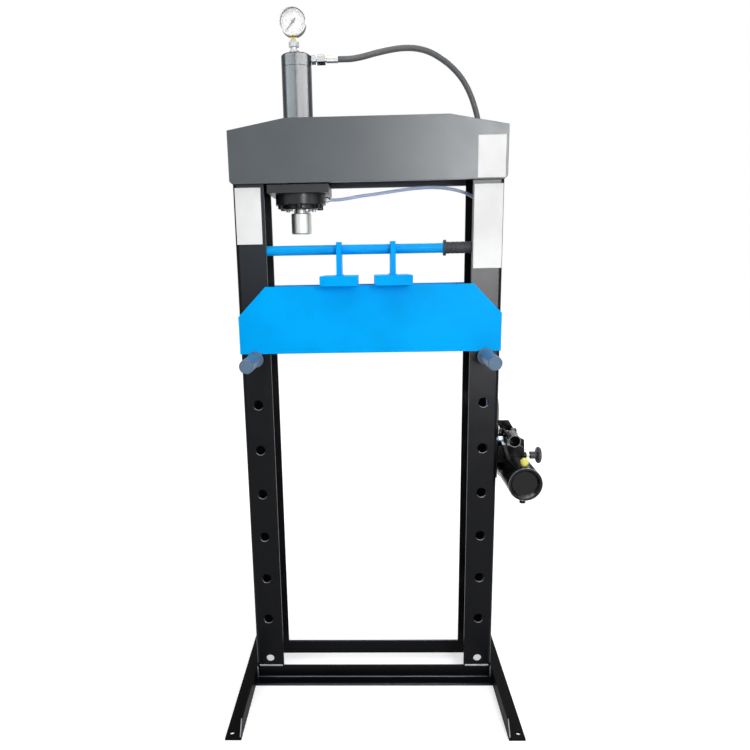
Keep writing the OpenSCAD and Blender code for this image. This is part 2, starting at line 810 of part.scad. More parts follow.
module rod_wiper() {
  color(black) translate([cyl_x, 0, boss_z]) difference() {
    cylinder(d = bush_od - 2 * set_fit, h = wiper_h);
    translate([0, 0, -1]) cylinder(d = rod_d + 2 * run_fit, h = wiper_h + 2);
  }
}

// Rod with a turned spigot into the head and another into the piston
module ram_rod() {
  color(steel) translate([cyl_x, 0, 0]) {
    translate([0, 0, head_top_z - spigot_l]) cylinder(d = spigot_d, h = spigot_l + 0.01);
    translate([0, 0, head_top_z]) cylinder(d = rod_d, h = piston_z - head_top_z);
    translate([0, 0, piston_z - 0.01]) cylinder(d = spigot_d, h = piston_l);
  }
}

module ram_piston() {
  color(steel) translate([cyl_x, 0, piston_z]) difference() {
    cylinder(d = bore_d - 2 * run_fit - 0.2, h = piston_l);
    translate([0, 0, -1]) cylinder(d = spigot_d + 2 * set_fit, h = piston_l + 2);
    translate([0, 0, piston_l / 2 - seal_w / 2]) difference() {
      cylinder(d = bore_d + 2, h = seal_w);
      translate([0, 0, -1]) cylinder(d = bore_d - 2 * seal_depth, h = seal_w + 2);
    }
  }
}

module piston_seal() {
  color(black) translate([cyl_x, 0, piston_z + piston_l / 2 - seal_w / 2 + set_fit]) difference() {
    cylinder(d = bore_d - 2 * run_fit, h = seal_w - 2 * set_fit);
    translate([0, 0, -1]) cylinder(d = bore_d - 2 * seal_depth + 2 * set_fit, h = seal_w + 2);
  }
}

// Turned head with chamfered rims, pushed on the rod's spigot
module ram_head() {
  rim = 2;
  color(steel) translate([cyl_x, 0, head_z]) difference() {
    rotate_extrude($fn = 96) polygon([
      [0, 0], [head_d / 2 - rim, 0], [head_d / 2, rim], [head_d / 2, head_h - rim],
      [head_d / 2 - rim, head_h], [0, head_h]
    ]);
    translate([0, 0, head_h - spigot_l - 1]) cylinder(d = spigot_d + 2 * set_fit, h = spigot_l + 2);
  }
}

// Coil spring between the gland's spigot and the piston
module return_spring() {
  low_z = plate_z + 10 + spring_wire / 2 + slide_gap;
  high_z = piston_z - spring_wire / 2 - slide_gap;
  steps = spring_turns * 14;
  coil = [for (i = [0 : steps]) let (a = 360 * i / 14)
    [cyl_x + spring_r * cos(a), spring_r * sin(a), low_z + (high_z - low_z) * i / steps]];
  color(steel) sweep_tube(coil, spring_wire, 8, [0, 0, 1]);
}

// Steel adapter: lower hexagon, round neck and upper hexagon
module gauge_adapter() {
  low_hex = 11;
  top_hex = 12;
  color(steel) translate([gauge_x, 0, cyl_top_z]) {
    translate([0, 0, -port_depth]) cylinder(d = port_d - 2 * set_fit, h = port_depth + 1);
    cylinder(d = 2 * port_d, h = low_hex, $fn = 6);
    cylinder(d = port_d + 4, h = adapter_h);
    translate([0, 0, adapter_h - top_hex - 3]) cylinder(d = 2 * port_d + 1.4, h = top_hex, $fn = 6);
  }
}

module gauge_stem() {
  color(brass) translate([gauge_x, 0, cyl_top_z + adapter_h])
    translate([-stem_af / 2, -stem_af / 2, 0]) cube([stem_af, stem_af, gauge_stem_h - 0.2]);
}

// Pressed case, open to the front
module gauge_case() {
  color(black) difference() {
    rod_y(-gauge_front + case_in, gauge_t - gauge_front, case_d, gauge_x, gauge_z);
    rod_y(-gauge_front, gauge_t - gauge_front - case_wall, case_d - 2 * case_wall, gauge_x, gauge_z);
    translate([gauge_x - stem_af / 2 - set_fit, -stem_af / 2 - set_fit, cyl_top_z + adapter_h - 1])
      cube([stem_af + 2 * set_fit, stem_af + 2 * set_fit, gauge_stem_h + 1]);
  }
}

module gauge_bezel() {
  rim = 1.2;
  bezel_h = 6;
  color(steel) translate([gauge_x, -gauge_front, gauge_z]) rotate([-90, 0, 0]) rotate_extrude($fn = 96)
    polygon([
      [gauge_d / 2 - bezel_w, 0], [gauge_d / 2 - rim, 0], [gauge_d / 2, rim], [gauge_d / 2, bezel_h],
      [case_d / 2 + set_fit, bezel_h], [case_d / 2 + set_fit, case_in - set_fit],
      [gauge_d / 2 - bezel_w, case_in - set_fit]
    ]);
}

module gauge_dial() {
  dial_d = case_d - 2 * case_wall - 2 * set_fit;
  color("white") rod_y(dial_y, dial_y + 1, dial_d, gauge_x, gauge_z);
  color(steel) rod_y(dial_y - 2.8, dial_y + 0.01, arbor_d, gauge_x, gauge_z);
}

module gauge_lens() {
  lens_d = gauge_d - 2 * bezel_w - 2 * set_fit;
  color("lightcyan") rod_y(-gauge_front + 0.8, -gauge_front + 2.8, lens_d, gauge_x, gauge_z);
}

// Needle on the dial's arbor, pointing to the lower left at zero
module gauge_needle() {
  tip = gauge_d / 2 - bezel_w - 4;
  zero_angle = 230;
  color(black) difference() {
    union() {
      translate([gauge_x, 0, gauge_z]) plate_xz(needle_y, needle_y + 0.8) rotate(zero_angle)
        polygon([[-9, -1.6], [0, -1.6], [tip, -0.4], [tip, 0.4], [0, 1.6], [-9, 1.6]]);
      rod_y(needle_y - 0.4, needle_y + 1.2, 7, gauge_x, gauge_z);
    }
    rod_y(needle_y - 2, needle_y + 3, arbor_d + 2 * run_fit, gauge_x, gauge_z);
  }
}

// Threaded adapter between the cylinder cap and the hose nut
module hose_adapter() {
  color(steel) {
    rod_x(cyl_x + cyl_d / 2 - port_depth, hose_fit_x, port_d - 2 * set_fit, 0, port_z);
    translate([cyl_x + cyl_d / 2 + 1, 0, port_z]) rotate([0, 90, 0])
      cylinder(d = port_hex_d, h = port_hex_l, $fn = 6);
  }
}

// Swivel nut and crimped ferrule along +Z, with the hose leaving at the top
module hose_end() {
  nut_d = hose_d + 11.4;
  ferrule_d = hose_d + 5;
  color(steel) {
    cylinder(d = nut_d, h = hose_nut_l, $fn = 6);
    cylinder(d = hose_d + 2, h = hose_nut_l + hose_neck_l + 1);
    translate([0, 0, hose_nut_l + hose_neck_l]) cylinder(d = ferrule_d, h = hose_ferrule_l);
  }
}

module hose_end_cylinder() {
  translate([hose_fit_x, 0, port_z]) rotate([0, 90, 0]) hose_end();
}

module hose_end_pump() {
  translate([outlet_x, outlet_y, outlet_top_z]) hose_end();
}

module pressure_hose() {
  color(black) sweep_tube(hose_pts, hose_d, 10, [0, 1, 0]);
}

module return_nipple() {
  nipple_x = cyl_x + flange_d / 2;
  color(steel) {
    rod_x(nipple_x - 10, nipple_x + 2, tube_d - 2 * set_fit, 0, return_port_z);
    translate([nipple_x + 1, 0, return_port_z]) rotate([0, 90, 0]) cylinder(d = 15, h = 6, $fn = 6);
    rod_x(nipple_x + 6, tube_x0, 11, 0, return_port_z);
  }
}

module return_tube() {
  color("lightblue") sweep_tube(tube_pts, tube_d, 10, [0, 1, 0]);
}

// Elbow from the return tube down to the reservoir's upper side
module return_elbow() {
  run_x = 20;
  run_z = web_hole_z - res_top_z + 4;
  slope = atan2(run_x, run_z);
  leg = norm([run_x, run_z]);
  color(steel) difference() {
    union() {
      rod_x(elbow_x - 9, elbow_x, 13, web_hole_y, web_hole_z);
      translate([elbow_x, web_hole_y, web_hole_z]) sphere(d = 14);
      translate([elbow_x, web_hole_y, web_hole_z]) rotate([0, 180 - slope, 0]) cylinder(d = 10, h = leg + 8);
      translate([elbow_x, web_hole_y, web_hole_z]) rotate([0, 180 - slope, 0])
        translate([0, 0, leg - 10]) cylinder(d = 17, h = 18, $fn = 6);
    }
    rod_y(-res_front, res_back, res_d + 2 * set_fit, res_x, res_z);
  }
}

// Places of the bolts that hold the bracket on the post
module pump_bolt_places() {
  for (y = pump_bolt_y, z = pump_bolt_z) translate([0, y, z]) children();
}

// Places of the screws that hold the pump body on the bracket
module body_screw_places() {
  for (x = body_screw_x) translate([x, 0, body_screw_z]) children();
}

// Bracket: plate on the post's web and a stepped plate behind the pump
module pump_bracket() {
  color(black) difference() {
    union() {
      translate([half_w, -body_front + 8, bracket_z])
        cube([bracket_t, body_front - 8 + body_back + bracket_t, bracket_top_z - bracket_z]);
      plate_xz(body_back, body_back + bracket_t) {
        polygon([
          [half_w, bracket_z], [res_x, bracket_z], [body_x1 + 10, res_z],
          [body_x1 + 14, body_top_z - bracket_nose],
          [body_x1 + 12, body_top_z + 1], [body_x1 + 2, body_top_z + 6], [body_x1 - 6, body_top_z + 15],
          [res_x - 1, bracket_top_z - 18], [res_x - 12, bracket_top_z], [half_w, bracket_top_z]
        ]);
        translate([res_x, res_z]) circle(d = res_d + 4);
      }
    }
    pump_bolt_places() rod_x(half_w - 1, half_w + bracket_t + 1, pump_bolt_d + 2 * set_fit, 0, 0);
    body_screw_places() rod_y(body_back - 1, body_back + bracket_t + 1, body_screw_d + 2 * set_fit, 0, 0);
    rod_y(body_back - 1, body_back + bracket_t + 1, outlet_d + 2 * set_fit, outlet_x, outlet_z);
  }
}

// Bolts with nuts through the post's web, and screws through the bracket into the pump body
module pump_fasteners() {
  nut_h = 6;
  color(steel) {
    pump_bolt_places() {
      rod_x(half_w - post_t - nut_h - 3, half_w + bracket_t + 0.01, pump_bolt_d, 0, 0);
      translate([half_w + bracket_t, 0, 0]) rotate([0, 90, 0]) cylinder(d = bolt_hex_d, h = 4.5, $fn = 6);
      translate([half_w - post_t - nut_h, 0, 0]) rotate([0, 90, 0])
        cylinder(d = bolt_hex_d, h = nut_h, $fn = 6);
    }
    body_screw_places() {
      rod_y(body_back - 14, body_back + bracket_t + 0.01, body_screw_d, 0, 0);
      translate([0, body_back + bracket_t + 5, 0]) rotate([90, 0, 0])
        cylinder(d = bolt_hex_d, h = 5, $fn = 6);
    }
  }
}

// Cast pump body saddled on the reservoir, with lugs for the lever pivot
module pump_body() {
  body_low_z = res_top_z - body_saddle;
  color(black) difference() {
    union() {
      plate_xz(-body_front, body_back) polygon([
        [body_x0, body_low_z], [body_x1, body_low_z], [body_x1, body_top_z - 8],
        [body_x1 - 8, body_top_z], [body_x0, body_top_z]
      ]);
      rod_x(body_x1 - valve_boss, body_x1 + valve_boss, spindle_d + 9, valve_y, valve_z);
      for (s = [-1, 1]) plate_yz(lever_px + s * (lug_in + lug_t / 2) - lug_t / 2,
          lever_px + s * (lug_in + lug_t / 2) + lug_t / 2) {
        translate([0, pivot_z]) circle(d = pivot_d + 14);
        translate([-(pivot_d + 14) / 2, body_top_z - 1])
          square([pivot_d + 14, pivot_z - body_top_z + 1]);
      }
    }
    rod_y(-body_front - 1, body_back + 1, res_d + 2 * set_fit, res_x, res_z);
    rod_x(lever_px - lug_in - lug_t - 1, lever_px + lug_in + lug_t + 1, pivot_d + 2 * set_fit, 0, pivot_z);
    translate([lever_px, -plunger_arm, body_low_z - 1])
      cylinder(d = plunger_d + 2 * run_fit, h = body_top_z - body_low_z + 2);
    rod_x(spindle_x0, body_x1 + valve_boss + 1, spindle_d + 2 * run_fit, valve_y, valve_z);
    body_screw_places() rod_y(body_back - 16, body_back + 1, body_screw_d + 2 * set_fit, 0, 0);
    rod_y(body_back - 8, body_back + 1, outlet_d + 2 * set_fit, outlet_x, outlet_z);
  }
}

module plunger_gland() {
  color(steel) translate([lever_px, -plunger_arm, body_top_z]) difference() {
    cylinder(d = plunger_d + 9, h = 7, $fn = 6);
    translate([0, 0, -1]) cylinder(d = plunger_d + 2 * run_fit, h = 9);
  }
}

// Plunger with a cross pin that rides in the slots of the lever socket
module pump_plunger() {
  color(steel) {
    translate([lever_px, -plunger_arm, body_top_z - plunger_in])
      cylinder(d = plunger_d, h = pivot_z + 7 - body_top_z + plunger_in);
    rod_x(lever_px - cheek_out, lever_px + cheek_out, cross_pin_d, -plunger_arm, pivot_z);
  }
}

module lever_pivot_pin() {
  pin_end = lug_in + lug_t;
  color(steel) {
    rod_x(lever_px - pin_end - 2, lever_px + pin_end + 0.01, pivot_d, 0, pivot_z);
    rod_x(lever_px + pin_end, lever_px + pin_end + 4, pivot_d + 5, 0, pivot_z);
  }
}

// Lever socket: tube towards the front, two cheeks back to the pivot, slots for the cross pin
module lever_socket() {
  cheek_h = 24;
  slot_h = cross_pin_d + 3;
  slot_l = cross_pin_d + 9;
  color(black) difference() {
    union() {
      rod_y(socket_y0, socket_y1 + 4, socket_od, lever_px, pivot_z);
      for (s = [-1, 1]) plate_yz(lever_px + s * (cheek_in + cheek_t / 2) - cheek_t / 2,
          lever_px + s * (cheek_in + cheek_t / 2) + cheek_t / 2) {
        translate([socket_y1, pivot_z - cheek_h / 2]) square([-socket_y1, cheek_h]);
        translate([0, pivot_z]) circle(d = cheek_h);
      }
    }
    rod_y(socket_y0 - 1, socket_y1 - 4, socket_id, lever_px, pivot_z);
    rod_x(lever_px - socket_od, lever_px + socket_od, pivot_d + 2 * run_fit, 0, pivot_z);
    translate([lever_px - socket_od, -plunger_arm - slot_l + cross_pin_d / 2 + 1.5, pivot_z - slot_h / 2])
      cube([2 * socket_od, slot_l, slot_h]);
  }
}

module reservoir_tube() {
  color(black) difference() {
    rod_y(-res_front, res_back, res_d, res_x, res_z);
    rod_y(-res_front - 1, res_back - 4, res_d - 2 * res_wall, res_x, res_z);
    translate([res_x, filler_y, res_z]) cylinder(d = filler_d, h = res_d);
    translate([res_x, drain_y, res_z - res_d]) cylinder(d = drain_d, h = res_d);
  }
}

// Dished cap pressed into the reservoir's front end
module reservoir_cap() {
  rim_d = res_d - 2 * res_wall - 2 * set_fit;
  dish_d = res_d - 2 * cap_rim_w;
  color(black) translate([res_x, -res_front, res_z]) rotate([-90, 0, 0]) rotate_extrude($fn = 96) polygon([
    [0, 9], [dish_d / 2, 9], [rim_d / 2 - 2, 1], [rim_d / 2, 1], [rim_d / 2, 14], [0, 14]
  ]);
}

// Moulded filler plug with a flange and a ridged cap
module filler_plug() {
  color("gold") translate([res_x, filler_y, res_top_z]) {
    translate([0, 0, -res_wall]) cylinder(d = filler_d - 2 * set_fit, h = res_wall + 2);
    translate([0, 0, 0.6]) cylinder(d = filler_d + 2, h = 5);
    translate([0, 0, 5]) cylinder(d1 = filler_cap_d - 1, d2 = filler_cap_d, h = 4);
    translate([0, 0, 9]) cylinder(d = filler_cap_d, h = 5);
    translate([0, 0, 14]) cylinder(d1 = filler_cap_d - 5, d2 = filler_d, h = 5);
  }
}

module drain_plug() {
  z0 = res_z - res_d / 2;
  color(black) translate([res_x, drain_y, z0]) {
    translate([0, 0, -0.6]) cylinder(d = drain_d - 2 * set_fit, h = res_wall + 0.6);
    translate([0, 0, -drain_l]) cylinder(d = drain_d + 6, h = drain_l - 0.5, $fn = 6);
  }
}

module release_spindle() {
  color(steel) rod_x(spindle_x0 + slide_gap, knob_x + 4, spindle_d, valve_y, valve_z);
}

// Release knob: hub and scalloped wheel with bevelled rims
module release_knob() {
  lobes = 8;
  color(black) difference() {
    union() {
      rod_x(knob_x - knob_hub_l, knob_x + 1, knob_hub_d, valve_y, valve_z);
      translate([knob_x, valve_y, valve_z]) rotate([0, 90, 0]) rotate_extrude() polygon([
        [0, 0], [knob_d / 2 - knob_edge, 0], [knob_d / 2, knob_edge], [knob_d / 2, knob_t - knob_edge],
        [knob_d / 2 - knob_edge, knob_t], [0, knob_t]
      ]);
    }
    for (i = [0 : lobes - 1]) translate([0, valve_y, valve_z]) rotate([360 / lobes * i, 0, 0])
      rod_x(knob_x - 1, knob_x + knob_t + 1, 7, knob_d / 2 + 1, 0);
    rod_x(knob_x - knob_hub_l - 1, knob_x + 4, spindle_d + 2 * set_fit, valve_y, valve_z);
  }
}

// Outlet elbow behind the bracket, turning up to the lower hose end
module outlet_elbow() {
  color(steel) {
    rod_y(body_back - 6, outlet_y, outlet_d, outlet_x, outlet_z);
    translate([outlet_x, outlet_y, outlet_z]) sphere(d = outlet_d + 4);
    translate([outlet_x, outlet_y, outlet_z]) cylinder(d = outlet_d, h = outlet_h);
  }
}

post_left();
post_right();
cross_front();
cross_rear();
foot_left();
foot_right();
beam_front_plate();
beam_rear_plate();
beam_rails();
bed_front_plate();
bed_rear_plate();
bed_spacers();
bed_pin_left();
bed_pin_right();
press_plate_left();
press_plate_right();
lever_tube();
lever_grip();
carriage_plate();
carriage_hooks();
cylinder_tube();
cylinder_cap();
gland_flange();
gland_bolts();
cover_screws();
guide_bush();
rod_wiper();
ram_rod();
ram_piston();
piston_seal();
ram_head();
return_spring();
gauge_adapter();
gauge_stem();
gauge_case();
gauge_bezel();
gauge_dial();
gauge_lens();
gauge_needle();
hose_adapter();
hose_end_cylinder();
pressure_hose();
hose_end_pump();
return_nipple();
return_tube();
return_elbow();
pump_bracket();
pump_fasteners();
pump_body();
plunger_gland();
pump_plunger();
lever_pivot_pin();
lever_socket();
reservoir_tube();
reservoir_cap();
filler_plug();
drain_plug();
release_spindle();
release_knob();
outlet_elbow();
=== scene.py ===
import json
import math
import random

import bpy
import bmesh
from mathutils import Matrix, Vector


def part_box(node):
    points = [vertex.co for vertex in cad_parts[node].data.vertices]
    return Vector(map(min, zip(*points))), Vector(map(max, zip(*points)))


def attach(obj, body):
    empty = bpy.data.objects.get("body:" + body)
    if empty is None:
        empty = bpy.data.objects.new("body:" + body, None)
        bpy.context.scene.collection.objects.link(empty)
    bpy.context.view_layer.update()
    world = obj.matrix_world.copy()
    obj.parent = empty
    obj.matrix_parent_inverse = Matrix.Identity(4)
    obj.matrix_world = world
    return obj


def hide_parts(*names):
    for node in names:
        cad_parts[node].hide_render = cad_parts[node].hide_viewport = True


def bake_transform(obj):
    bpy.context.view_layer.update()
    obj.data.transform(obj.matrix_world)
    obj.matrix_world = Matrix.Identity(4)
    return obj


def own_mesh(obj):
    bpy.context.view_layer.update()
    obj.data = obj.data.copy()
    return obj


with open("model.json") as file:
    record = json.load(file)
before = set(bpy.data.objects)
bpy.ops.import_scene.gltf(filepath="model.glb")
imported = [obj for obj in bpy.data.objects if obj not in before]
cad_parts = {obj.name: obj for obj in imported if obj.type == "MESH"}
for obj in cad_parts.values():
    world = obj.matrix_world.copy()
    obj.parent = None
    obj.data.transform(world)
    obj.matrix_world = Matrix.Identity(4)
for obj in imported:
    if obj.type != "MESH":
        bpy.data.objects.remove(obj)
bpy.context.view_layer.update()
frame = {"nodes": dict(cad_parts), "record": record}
nodes = frame["nodes"]
slot_of = {p["node"]: p["material_slot"] for p in frame["record"]["subparts"]}
scene = bpy.context.scene
draw = random.Random(7)
SIDES = ((-1, "left"), (1, "right"))
FACES = ((-1, "front"), (1, "rear"))

# Camera, fitted to the photograph: place in metres, angles in degrees, focal length and centre in pixels
IMAGE = 750
CAM_AT = Vector((-0.0012, -1.7778, 1.1263))
CAM_YAW, CAM_PITCH, CAM_ROLL = -1.73, 12.49, -1.05
CAM_FOCAL = 683.8
CAM_CENTRE = (349.95, 417.65)
SENSOR_WIDTH = 36
VIEW_END = 50


def make_camera():
    yaw, pitch, roll = (math.radians(a) for a in (CAM_YAW, CAM_PITCH, CAM_ROLL))
    forward = Vector((math.sin(yaw) * math.cos(pitch), math.cos(yaw) * math.cos(pitch), -math.sin(pitch)))
    level = Vector((math.cos(yaw), -math.sin(yaw), 0))
    above = level.cross(forward)
    right = level * math.cos(roll) + above * math.sin(roll)
    up = above * math.cos(roll) - level * math.sin(roll)
    data = bpy.data.cameras.new("camera")
    data.sensor_fit = "HORIZONTAL"
    data.sensor_width = SENSOR_WIDTH
    data.lens = CAM_FOCAL * SENSOR_WIDTH / IMAGE
    data.shift_x = (IMAGE / 2 - CAM_CENTRE[0]) / IMAGE
    data.shift_y = (CAM_CENTRE[1] - IMAGE / 2) / IMAGE
    data.clip_end = VIEW_END
    camera = bpy.data.objects.new("camera", data)
    turn = Matrix((right, up, -forward)).transposed().to_4x4()
    camera.matrix_world = Matrix.Translation(CAM_AT) @ turn
    scene.collection.objects.link(camera)
    scene.camera = camera


make_camera()
scene.view_settings.view_transform = "Standard"


# Mesh helpers
def new_mesh(name, bm, smooth=True):
    mesh = bpy.data.meshes.new(name)
    bm.normal_update()
    bm.to_mesh(mesh)
    bm.free()
    for face in mesh.polygons:
        face.use_smooth = smooth
    obj = bpy.data.objects.new(name, mesh)
    scene.collection.objects.link(obj)
    return obj


def angles(count):
    """Evenly spread angles of one full turn."""
    return [2 * math.pi * k / count for k in range(count)]


def close_ends(bm, rings):
    bm.faces.new(rings[0])
    bm.faces.new(list(reversed(rings[-1])))


def smooth_route(points, per_span=6):
    """Points of a rounded line through the given ones."""
    line = []
    count = len(points)
    for i in range(count - 1):
        p0 = points[max(i - 1, 0)]
        p1, p2 = points[i], points[i + 1]
        p3 = points[min(i + 2, count - 1)]
        for k in range(per_span):
            t = k / per_span
            line.append(0.5 * ((2 * p1) + (p2 - p0) * t + (2 * p0 - 5 * p1 + 4 * p2 - p3) * t * t
                               + (3 * p1 - p0 - 3 * p2 + p3) * t ** 3))
    line.append(points[-1])
    return line


def tube(name, line, radius, sides=20):
    """Closed round tube along a line that nowhere runs along the Y axis."""
    bm = bmesh.new()
    side = Vector((0, 1, 0))
    rings = []
    for i, p in enumerate(line):
        t = (line[min(i + 1, len(line) - 1)] - line[max(i - 1, 0)]).normalized()
        a = t.cross(side).normalized()
        b = t.cross(a)
        rings.append([bm.verts.new(p + radius * (math.cos(u) * a + math.sin(u) * b)) for u in angles(sides)])
    for r0, r1 in zip(rings, rings[1:]):
        for k in range(sides):
            n = (k + 1) % sides
            bm.faces.new((r0[k], r1[k], r1[n], r0[n]))
    close_ends(bm, rings)
    return new_mesh(name, bm)


# Cords: thickness in metres, routes of part.scad in millimetres
HOSE_D = 0.014
HOSE_POINTS = [Vector(p) / 1000 for p in (
    (-67.5, 0, 1609), (-38, 0, 1609), (-10, 4, 1614), (23, 10, 1623), (57, 20, 1632), (90, 30, 1638),
    (122, 40, 1639), (154, 52, 1634), (185, 64, 1621), (213, 76, 1604), (238, 86, 1581), (257, 94, 1554),
    (271, 99, 1524), (282, 102, 1490), (290, 104, 1455), (296, 104, 1415), (300, 104, 1370),
    (303, 104, 1320), (305, 104, 1265), (306, 104, 1205), (307, 104, 1140), (308, 104, 1070),
    (310, 104, 1000), (313, 103, 940), (318, 99, 890), (324, 91, 850), (331, 80, 816), (337, 67, 788),
    (340, 55, 766), (341, 48, 748), (341, 45, 734), (341, 45, 717))]
TUBE_D = 0.008
TUBE_POINTS = [Vector(p) / 1000 for p in (
    (-93.5, 0, 1288), (-74, 0, 1288), (-48, 0, 1291), (-16, 1, 1296), (20, 2, 1300), (58, 3, 1305),
    (91, 4, 1309), (124, 5, 1312), (155, 6, 1313), (180, 7, 1312), (204, 8, 1309), (226, 9, 1304),
    (246, 10, 1297), (264, 12, 1287), (280, 14, 1273), (293, 15, 1254), (302, 15, 1230), (307, 15, 1200),
    (308, 15, 1160), (308, 15, 1100), (308, 15, 1030), (308, 15, 960), (308, 14, 905), (308, 10, 862),
    (308, 2, 826), (307, -9, 796), (305, -23, 768), (301, -35, 747), (297, -44, 729), (294, -48, 714),
    (296, -48, 702), (303, -48, 691), (314, -48, 684), (326, -48, 682), (330, -48, 682))]


def make_cord(name, node, points, diameter):
    """Cord from the carriage to the frame, in place of a CAD node."""
    line = smooth_route(points)
    obj = tube(name, line, diameter / 2)
    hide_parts(node)
    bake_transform(obj)
    return obj


hose = make_cord("hose_outer", "pressure_hose", HOSE_POINTS, HOSE_D)
drain = make_cord("drain_tube", "return_tube", TUBE_POINTS, TUBE_D)


# Materials
class Graph:
    """Small helper around one material's node tree."""

    def __init__(self, name):
        self.material = bpy.data.materials.new(name)
        self.material.use_nodes = True
        self.tree = self.material.node_tree
        self.shader = self.tree.nodes["Principled BSDF"]

    def node(self, kind, **values):
        made = self.tree.nodes.new(kind)
        for key, value in values.items():
            setattr(made, key, value)
        return made

    def link(self, source, target):
        self.tree.links.new(source, target)

    def noise(self, scale, detail, stretch=(1, 1, 1)):
        place = self.node("ShaderNodeTexCoord")
        spread = self.node("ShaderNodeMapping")
        spread.inputs["Scale"].default_value = stretch
        made = self.node("ShaderNodeTexNoise")
        made.inputs["Scale"].default_value = scale
        made.inputs["Detail"].default_value = detail
        made.inputs["Roughness"].default_value = NOISE_ROUGH
        self.link(place.outputs["Object"], spread.inputs["Vector"])
        self.link(spread.outputs["Vector"], made.inputs["Vector"])
        return made.outputs["Fac"]

    def ramp(self, source, low, high, at):
        made = self.node("ShaderNodeMapRange")
        made.inputs["From Min"].default_value = at[0]
        made.inputs["From Max"].default_value = at[1]
        made.inputs["To Min"].default_value = low
        made.inputs["To Max"].default_value = high
        self.link(source, made.inputs["Value"])
        return made.outputs["Result"]

    def mix(self, factor, a, b):
        made = self.node("ShaderNodeMix", data_type="RGBA")
        self.link(factor, made.inputs["Factor"])
        ins = [s for s in made.inputs if s.type == "RGBA"]
        for socket, value in zip(ins, (a, b)):
            if isinstance(value, tuple):
                socket.default_value = (*value, 1)
            else:
                self.link(value, socket)
        return [s for s in made.outputs if s.type == "RGBA"][0]

    def soft_normal(self, radius):
        """Normal that is rounded off along sharp edges."""
        soft = self.node("ShaderNodeBevel")
        soft.inputs["Radius"].default_value = radius
        return soft.outputs["Normal"]

    def near_edges(self, soft):
        """0 on flat faces and 1 where the rounded normal leaves the true one."""
        sharp = self.node("ShaderNodeNewGeometry")
        dot = self.node("ShaderNodeVectorMath", operation="DOT_PRODUCT")
        self.link(soft, dot.inputs[0])
        self.link(sharp.outputs["Normal"], dot.inputs[1])
        return self.ramp(dot.outputs["Value"], 1.0, 0.0, EDGE_RANGE)

    def bump(self, height, strength, distance, normal=None):
        made = self.node("ShaderNodeBump")
        made.inputs["Strength"].default_value = strength
        made.inputs["Distance"].default_value = distance
        self.link(height, made.inputs["Height"])
        if normal is not None:
            self.link(normal, made.inputs["Normal"])
        self.link(made.outputs["Normal"], self.shader.inputs["Normal"])

    def set(self, **values):
        for key, value in values.items():
            socket = self.shader.inputs[key.replace("_", " ")]
            if isinstance(value, bpy.types.NodeSocket):
                self.link(value, socket)
            else:
                socket.default_value = (*value, 1) if isinstance(value, tuple) else value
        return self.material


def linear(*srgb):
    """Linear colour of an sRGB one, 0 to 255."""
    parts = [c / 255 for c in srgb]
    return tuple(c / 12.92 if c <= 0.04045 else ((c + 0.055) / 1.055) ** 2.4 for c in parts)


def shade(colour, by):
    return tuple(min(c * by, 1) for c in colour)


# Noise patterns: scale per metre and detail
CLOUDS, CHIPS, PEEL, SHEEN = (6, 5), (90, 6), (420, 2), (30, 4)
TOOL_MARKS, STAINS, FITTING_GRAIN = (260, 6), (14, 5), (260, 4)
DUST, MOULD_SHEEN, MOULD_DETAIL = (22, 5), (40, 3), 3
LENS_WAVES, FLOOR_WAVES = (60, 2), (40, 2)
NOISE_ROUGH = 0.55
# Parts of a noise's range over which a ramp runs
CLOUD_RANGE, CHIP_RANGE, STAIN_RANGE, DUST_RANGE = (0.35, 0.65), (0.50, 0.62), (0.45, 0.75), (0.5, 0.8)
SHEEN_RANGE, EDGE_RANGE = (0.3, 0.7), (0.80, 0.99)
# Rounding of edges and depth of relief in metres
PAINT_EDGE, METAL_EDGE, MOULD_EDGE = 0.0018, 0.001, 0.0008
PEEL_DEPTH, GRAIN_DEPTH, LENS_DEPTH = 0.00025, 0.0002, 0.0001
SPLIT_BLUR = 0.0015
# Strength of relief
PEEL_RELIEF, FITTING_RELIEF, WAVE_RELIEF = 0.25, 0.15, 0.02


def paint(name, colour, rough, worn=(0.30, 0.31, 0.32), wear=0.5, edge=PAINT_EDGE, gloss=0.3):
    """Sprayed paint: soft cloudiness, fine orange peel, and a worn colour along rubbed edges."""
    g = Graph(name)
    cloud = g.ramp(g.noise(*CLOUDS), 0, 1, CLOUD_RANGE)
    tone = g.mix(cloud, shade(colour, 0.90), shade(colour, 1.08))
    soft = g.soft_normal(edge)
    rubbed = g.node("ShaderNodeMath", operation="MULTIPLY")
    g.link(g.near_edges(soft), rubbed.inputs[0])
    g.link(g.ramp(g.noise(*CHIPS), 0, wear, CHIP_RANGE), rubbed.inputs[1])
    g.bump(g.noise(*PEEL), PEEL_RELIEF, PEEL_DEPTH, soft)
    return g.set(Base_Color=g.mix(rubbed.outputs[0], tone, worn), Specular_IOR_Level=gloss,
                 Roughness=g.ramp(g.noise(*SHEEN), rough - 0.02, rough + 0.02, SHEEN_RANGE))


def steel(name, colour, rough, stretch=(1, 1, 1), scratch=0.25):
    """Bare metal with fine tool marks and faint handling stains."""
    g = Graph(name)
    marks = g.noise(*TOOL_MARKS, stretch)
    stain = g.ramp(g.noise(*STAINS), 0, 1, STAIN_RANGE)
    g.bump(marks, scratch, GRAIN_DEPTH, g.soft_normal(METAL_EDGE))
    return g.set(Base_Color=g.mix(stain, colour, shade(colour, 0.72)), Metallic=1.0,
                 Roughness=g.ramp(marks, rough - 0.08, rough + 0.12, SHEEN_RANGE))


